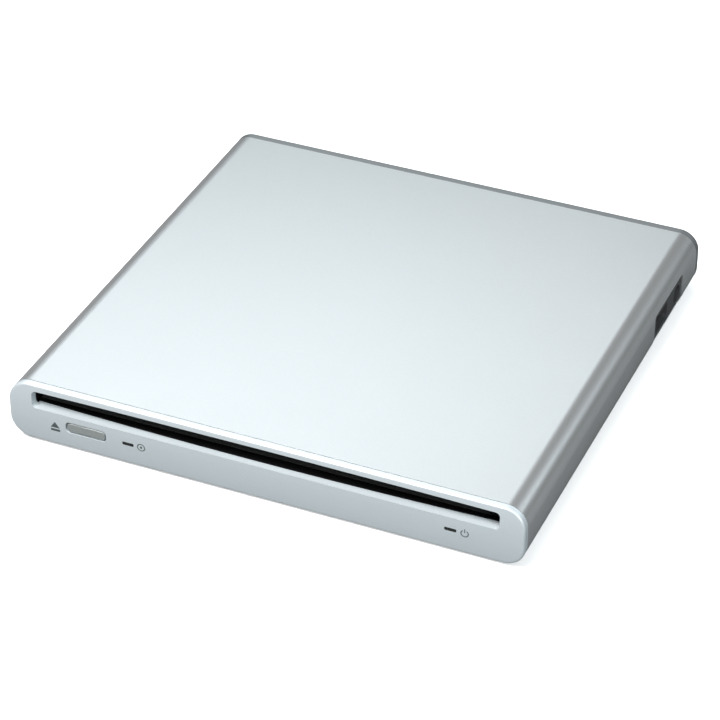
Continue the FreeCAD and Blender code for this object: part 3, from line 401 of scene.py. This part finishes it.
def apply(o):
    """Bakes the modifiers of a new piece into its mesh."""
    dg = bpy.context.evaluated_depsgraph_get()
    me = bpy.data.meshes.new_from_object(o.evaluated_get(dg))
    old = o.data
    o.modifiers.clear()
    o.data = me
    bpy.data.meshes.remove(old)
    return o


def soften(o, width, segments=2, angle=35.0, smooth=40.0):
    """Rounds the sharp edges of a new piece and shades it smooth."""
    b = o.modifiers.new("edge", "BEVEL")
    b.width = width * MM
    b.segments = segments
    b.limit_method = "ANGLE"
    b.angle_limit = math.radians(angle)
    b.use_clamp_overlap = True
    b.harden_normals = False
    b.miter_outer = "MITER_ARC"
    apply(o)
    me = o.data
    for p in me.polygons:
        p.use_smooth = True
    me.set_sharp_from_angle(angle=math.radians(smooth))
    w = o.modifiers.new("shade", "WEIGHTED_NORMAL")
    w.keep_sharp = True
    w.weight = 80
    apply(o)
    return o


def refined(node, width, segments=2, angle=35.0, name=None, mat=None):
    """The CAD node's own shape as a new piece, with its sharp edges broken."""
    src = NODES[node]
    bm = bmesh.new()
    bm.from_mesh(src.data)
    bmesh.ops.remove_doubles(bm, verts=bm.verts, dist=2e-7)
    bmesh.ops.dissolve_limit(bm, angle_limit=math.radians(0.6), use_dissolve_boundaries=False,
                             verts=bm.verts, edges=bm.edges, delimit=set())
    bmesh.ops.recalc_face_normals(bm, faces=bm.faces)
    me = bpy.data.meshes.new(name or node + "_skin")
    bm.to_mesh(me)
    bm.free()
    o = add(name or node + "_skin", me, BODY_OF[node], SLOT_OF[node], mat, node)
    return soften(o, width, segments, angle)


CROWN, MID_Z = 0.5, 9.175
CROWN_R = (16.75 ** 2 / 4 + CROWN ** 2) / (2 * CROWN)


def plate(name, rings, y, body, mat, slot, depth=0.05):
    """A thin printed mark on the front face: closed outlines in x, z (mm), drawn back along Y."""
    cu = bpy.data.curves.new(name, "CURVE")
    cu.dimensions = "2D"
    cu.fill_mode = "BOTH"
    cu.extrude = depth / 2 * MM
    for pts in rings:
        sp = cu.splines.new("POLY")
        sp.points.add(len(pts) - 1)
        for p, (x, z) in zip(sp.points, pts):
            p.co = (x * MM, z * MM, 0, 1)
        sp.use_cyclic_u = True
    tmp = bpy.data.objects.new(name + "_tmp", cu)
    scene.collection.objects.link(tmp)
    tmp.matrix_world = Matrix(((1, 0, 0, 0), (0, 0, -1, 0), (0, 1, 0, 0), (0, 0, 0, 1)))
    bpy.context.view_layer.update()
    dg = bpy.context.evaluated_depsgraph_get()
    me = bpy.data.meshes.new_from_object(tmp.evaluated_get(dg))
    me.transform(Matrix.Translation((0, (y + depth / 2 - 0.012) * MM, 0)) @ tmp.matrix_world)
    bpy.data.objects.remove(tmp)
    bpy.data.curves.remove(cu)
    bm = bmesh.new()
    bm.from_mesh(me)
    bmesh.ops.remove_doubles(bm, verts=bm.verts, dist=1e-7)
    for v in bm.verts:      # it lies on the crowned face
        d = v.co.z / MM - MID_Z
        v.co.y += (CROWN_R - math.sqrt(CROWN_R ** 2 - d * d)) * MM
        v.co.y = max(v.co.y, (y + 0.0002) * MM)
    bmesh.ops.recalc_face_normals(bm, faces=bm.faces)
    bm.to_mesh(me)
    bm.free()
    o = add(name, me, body, slot, mat)
    return o


def circle(cx, cz, r, n=40, a0=0.0, a1=360.0):
    k = n if a1 - a0 >= 360.0 else n - 1
    return [(cx + r * math.cos(math.radians(a0 + (a1 - a0) * i / k)),
             cz + r * math.sin(math.radians(a0 + (a1 - a0) * i / k))) for i in range(n)]


def arc_band(cx, cz, r0, r1, a0, a1, n=28):
    return circle(cx, cz, r1, n, a0, a1) + list(reversed(circle(cx, cz, r0, n, a0, a1)))


FRONT = -68.5
for node, width in (("top_cover", 0.16), ("bottom_cover", 0.14), ("front_bezel", 0.14), ("rear_end_cap", 0.16),
                    ("port_panel", 0.12), ("eject_button", 0.08), ("dc_jack", 0.08)):
    refined(node, width)
refined("usb_socket", 0.06, mat=M["socket_steel"])

# eject mark: a triangle over a bar
plate("mark_eject", [[(-58.3, 6.25), (-55.7, 6.25), (-57.0, 8.05)], [(-58.3, 5.15), (-55.7, 5.15), (-55.7, 5.85), (-58.3, 5.85)]],
      FRONT, "case", INK, "silver_plastic")
# disc mark beside the access light
plate("mark_access", [circle(-32.6, 7.1, 1.15), list(reversed(circle(-32.6, 7.1, 0.86))), circle(-32.6, 7.1, 0.36, 20)],
      FRONT, "case", PALE_INK, "silver_plastic")
# power mark beside the power light
plate("mark_power", [arc_band(54.6, 7.05, 0.80, 1.10, 122.0, 418.0), [(54.45, 7.25), (54.75, 7.25), (54.75, 8.40), (54.45, 8.40)]],
      FRONT, "case", PALE_INK, "silver_plastic")


# ------------------------------------------------------------ floor, lights
def floor():
    m = Mat("pale_floor", (0.93, 0.94, 0.95), 0.7, 0.0, Specular_IOR_Level=0.2)
    n = m.noise(160.0, 3.0)
    m.colour(m.two(n, (0.925, 0.935, 0.945), (0.945, 0.95, 0.955)))
    m.rough(m.span(n, 0.3, 0.7, 0.68, 0.78))
    me = bpy.data.meshes.new("floor")
    s = 4.0
    me.from_pydata([(-s, -s, 0), (s, -s, 0), (s, s, 0), (-s, s, 0)], [], [(0, 1, 2, 3)])
    o = bpy.data.objects.new("floor", me)
    scene.collection.objects.link(o)
    me.materials.append(m.m)
    # it lights nothing but itself, as a seamless sheet far below the object would
    o.visible_diffuse = False
    o.visible_glossy = False
    return o


FLOOR = floor()


def bounce():
    """A grey sheet just under the floor that sends soft light back up; the camera doesn't see it."""
    m = Mat("bounce_sheet", (0.15, 0.155, 0.16), 0.8, 0.0, Specular_IOR_Level=0.2)
    n = m.noise(160.0, 3.0)
    m.colour(m.two(n, (0.145, 0.15, 0.155), (0.155, 0.16, 0.165)))
    me = bpy.data.meshes.new("bounce")
    s = 2.0
    me.from_pydata([(-s, -s, -0.0004), (s, -s, -0.0004), (s, s, -0.0004), (-s, s, -0.0004)], [], [(0, 1, 2, 3)])
    o = bpy.data.objects.new("bounce", me)
    scene.collection.objects.link(o)
    me.materials.append(m.m)
    o.visible_camera = False
    return o


FLOOR.visible_shadow = False
BOUNCE = bounce()


def area(name, loc, target, size, power, rgb=(1, 1, 1)):
    d = bpy.data.lights.new(name, "AREA")
    d.shape = "RECTANGLE"
    d.size, d.size_y = size
    d.energy = power
    d.color = rgb
    o = bpy.data.objects.new(name, d)
    scene.collection.objects.link(o)
    o.location = loc
    o.rotation_euler = (Vector(target) - Vector(loc)).to_track_quat("-Z", "Y").to_euler()
    return o


def only(light, receivers, blockers):
    """This light reaches only the receivers, and only the blockers shade it."""
    for kind, objs in (("receiver_collection", receivers), ("blocker_collection", blockers)):
        c = bpy.data.collections.new(light.name + "_" + kind)
        for o in objs:
            c.objects.link(o)
        setattr(light.light_linking, kind, c)


def polar(az, el, dist):
    """A place around the object: degrees from +X, degrees up, metres away."""
    a, e = math.radians(az), math.radians(el)
    return (dist * math.cos(e) * math.cos(a), dist * math.cos(e) * math.sin(a), dist * math.sin(e))


COOL, NEUTRAL = (0.865, 0.960, 1.0), (1.0, 0.965, 0.950)
area("key", polar(-115, 58, 0.90), (0, 0, 0), (0.42, 0.30), 8.4, NEUTRAL)
area("key_high", polar(-110, 66, 0.85), (0, 0, 0), (0.42, 0.30), 2.3, NEUTRAL)
area("front_right_fill", polar(-40, 30, 1.30), (0, 0, 0), (0.60, 0.60), 7.7, (0.95, 1.0, 0.985))
area("rear_panel", polar(114, 40, 0.75), (0, 0, 0), (0.43, 0.20), 0.384, (0.880, 0.962, 0.985))
area("rear_panel_left", polar(126, 40, 0.80), (0, 0, 0), (0.36, 0.24), 0.082, COOL)
area("rear_softbox", polar(118, 54, 1.15), (0, 0, 0), (0.60, 0.34), 0.37, COOL)
area("rear_left_softbox", polar(150, 45, 1.15), (0, 0, 0), (0.50, 0.50), 1.50, COOL)
area("rear_strip", polar(118, 24, 1.40), (0, 0, 0), (0.80, 0.20), 0.25, (0.72, 0.95, 1.0))
area("rear_right_fill", polar(35, 35, 1.30), (0, 0, 0), (0.60, 0.60), 2.4, COOL)
wash = area("floor_wash", (0.0, 0.0, 1.6), (0, 0, 0), (2.4, 2.4), 32.0, (1.0, 1.0, 1.0))
only(wash, [FLOOR], [FLOOR])

w = bpy.data.worlds.new("studio") if not scene.world else scene.world
scene.world = w
w.use_nodes = True
bg = w.node_tree.nodes.get("Background") or w.node_tree.nodes.new("ShaderNodeBackground")
bg.inputs["Color"].default_value = (0.80, 0.93, 1.0, 1)
bg.inputs["Strength"].default_value = 0.015
